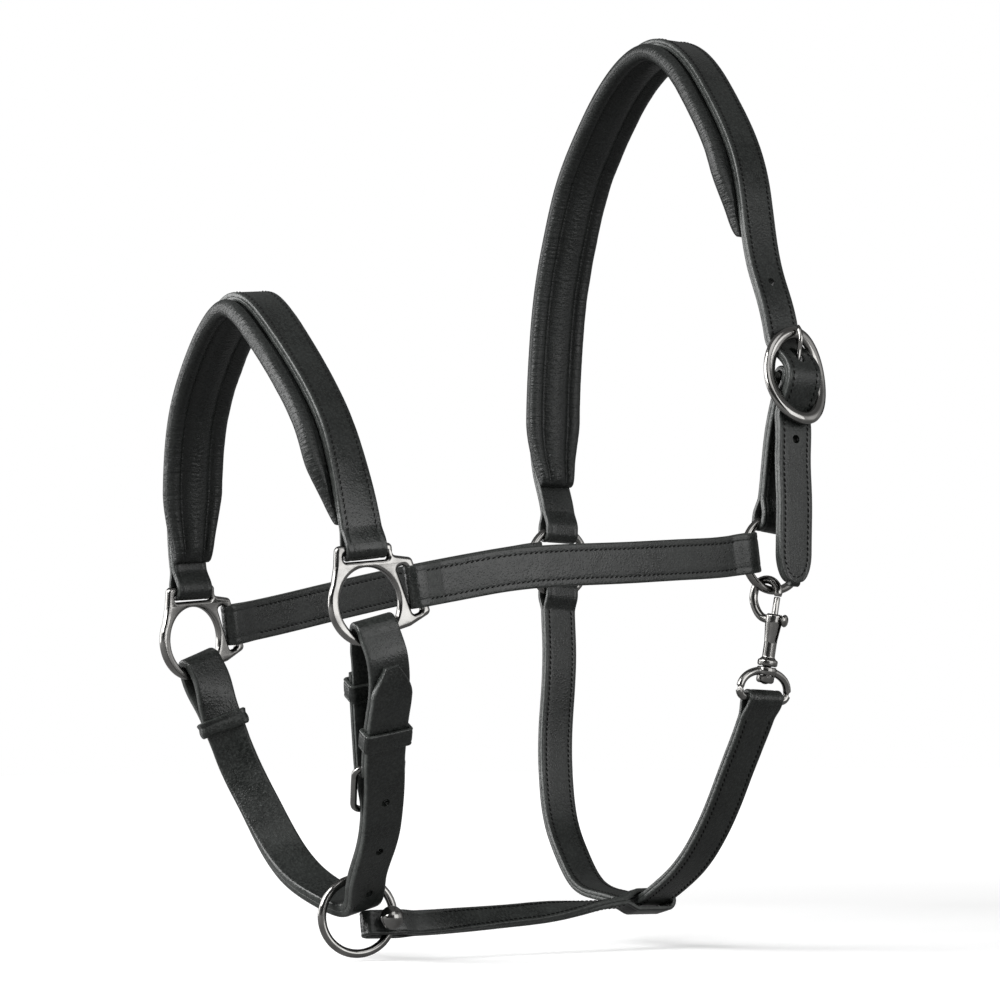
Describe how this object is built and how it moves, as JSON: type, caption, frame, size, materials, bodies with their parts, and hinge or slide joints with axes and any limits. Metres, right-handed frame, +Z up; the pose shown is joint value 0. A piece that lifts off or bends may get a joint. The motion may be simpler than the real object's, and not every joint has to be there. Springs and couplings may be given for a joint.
{
  "type": "horse halter",
  "caption": "Leather halter for a horse's head, padded at nose and poll, buckled beside the poll and under the chin, with a bolt snap at the throat.",
  "frame": {"origin": "inside of the crown pad at the top of the poll, in the middle of the head", "axes": "+X back over the neck, +Y to the horse's right (far) side, +Z up"},
  "size_m": [0.2722, 0.2098, 0.4482],
  "materials": {
    "black_leather": "smooth black, semi-matte, stitched",
    "padding_leather": "soft black, fine grain, padded",
    "dark_nickel": "polished black nickel"
  },
  "bodies": {
    "straps": {"nose_fitting_near": "dark_nickel", "nose_fitting_far": "dark_nickel", "crown_buckle_frame": "dark_nickel", "snap_swivel_eye": "dark_nickel", "chin_stud": "dark_nickel", "chin_buckle_frame": "dark_nickel", "noseband_strap": "black_leather", "noseband_pad": "padding_leather", "cheek_strap_near": "black_leather", "cheek_strap_far": "black_leather", "crown_strap": "black_leather", "crown_pad": "padding_leather", "crown_chape": "black_leather", "throat_strap": "black_leather", "connector_strap": "black_leather", "chin_strap": "black_leather", "chin_chape": "black_leather", "chin_keeper_far": "black_leather"},
    "crown_tongue": {"crown_buckle_tongue": "dark_nickel"},
    "chin_tongue": {"chin_buckle_tongue": "dark_nickel"},
    "snap": {"snap_body": "dark_nickel", "snap_swivel_nut": "dark_nickel"},
    "bolt": {"snap_bolt": "dark_nickel"},
    "near_cheek_ring": {"cheek_ring_near": "dark_nickel"},
    "far_cheek_ring": {"cheek_ring_far": "dark_nickel"},
    "chin_ring": {"chin_ring": "dark_nickel"},
    "outer_keeper": {"chin_keeper_outer": "black_leather"},
    "inner_keeper": {"chin_keeper_inner": "black_leather"}
  },
  "joints": [
    {"name": "crown_tongue_hinge", "type": "hinge", "parent": "straps", "child": "crown_tongue", "pos_m": [0.0005, -0.0984, -0.1653], "axis": [0.9996, -0.0062, -0.0293], "range_deg": [0, 18]},
    {"name": "chin_tongue_hinge", "type": "hinge", "parent": "straps", "child": "chin_tongue", "pos_m": [-0.20238, -0.05435, -0.34643], "axis": [0.95, -0.1999, 0.24], "range_deg": [0, 15]},
    {"name": "snap_swivel", "type": "hinge", "parent": "straps", "child": "snap", "pos_m": [-0.00616, -0.09338, -0.26609], "axis": [-0.1059, 0.1099, -0.9883], "range_deg": [-3, 38]},
    {"name": "snap_bolt_slide", "type": "slide", "parent": "snap", "child": "bolt", "axis": [-0.1059, 0.1099, -0.9883], "range_m": [0, 0.009], "stiffness_N_per_m": 150, "springref_m": -0.004},
    {"name": "near_cheek_ring_turn", "type": "hinge", "parent": "straps", "child": "near_cheek_ring", "pos_m": [-0.005, -0.0884, -0.2485], "axis": [0, 1, 0], "continuous": true},
    {"name": "far_cheek_ring_turn", "type": "hinge", "parent": "straps", "child": "far_cheek_ring", "pos_m": [-0.005, 0.0884, -0.2447], "axis": [0, 1, 0], "continuous": true},
    {"name": "chin_ring_turn", "type": "hinge", "parent": "straps", "child": "chin_ring", "pos_m": [-0.1799, 0, -0.4168], "axis": [-0.2421, -0.9703, 0], "continuous": true},
    {"name": "outer_keeper_slide", "type": "slide", "parent": "straps", "child": "outer_keeper", "axis": [0.2715, 0.555, -0.7863], "range_m": [-0.006, 0.006]},
    {"name": "inner_keeper_slide", "type": "slide", "parent": "straps", "child": "inner_keeper", "axis": [0.2454, 0.4009, -0.8826], "range_m": [-0.006, 0.004]}
  ]
}
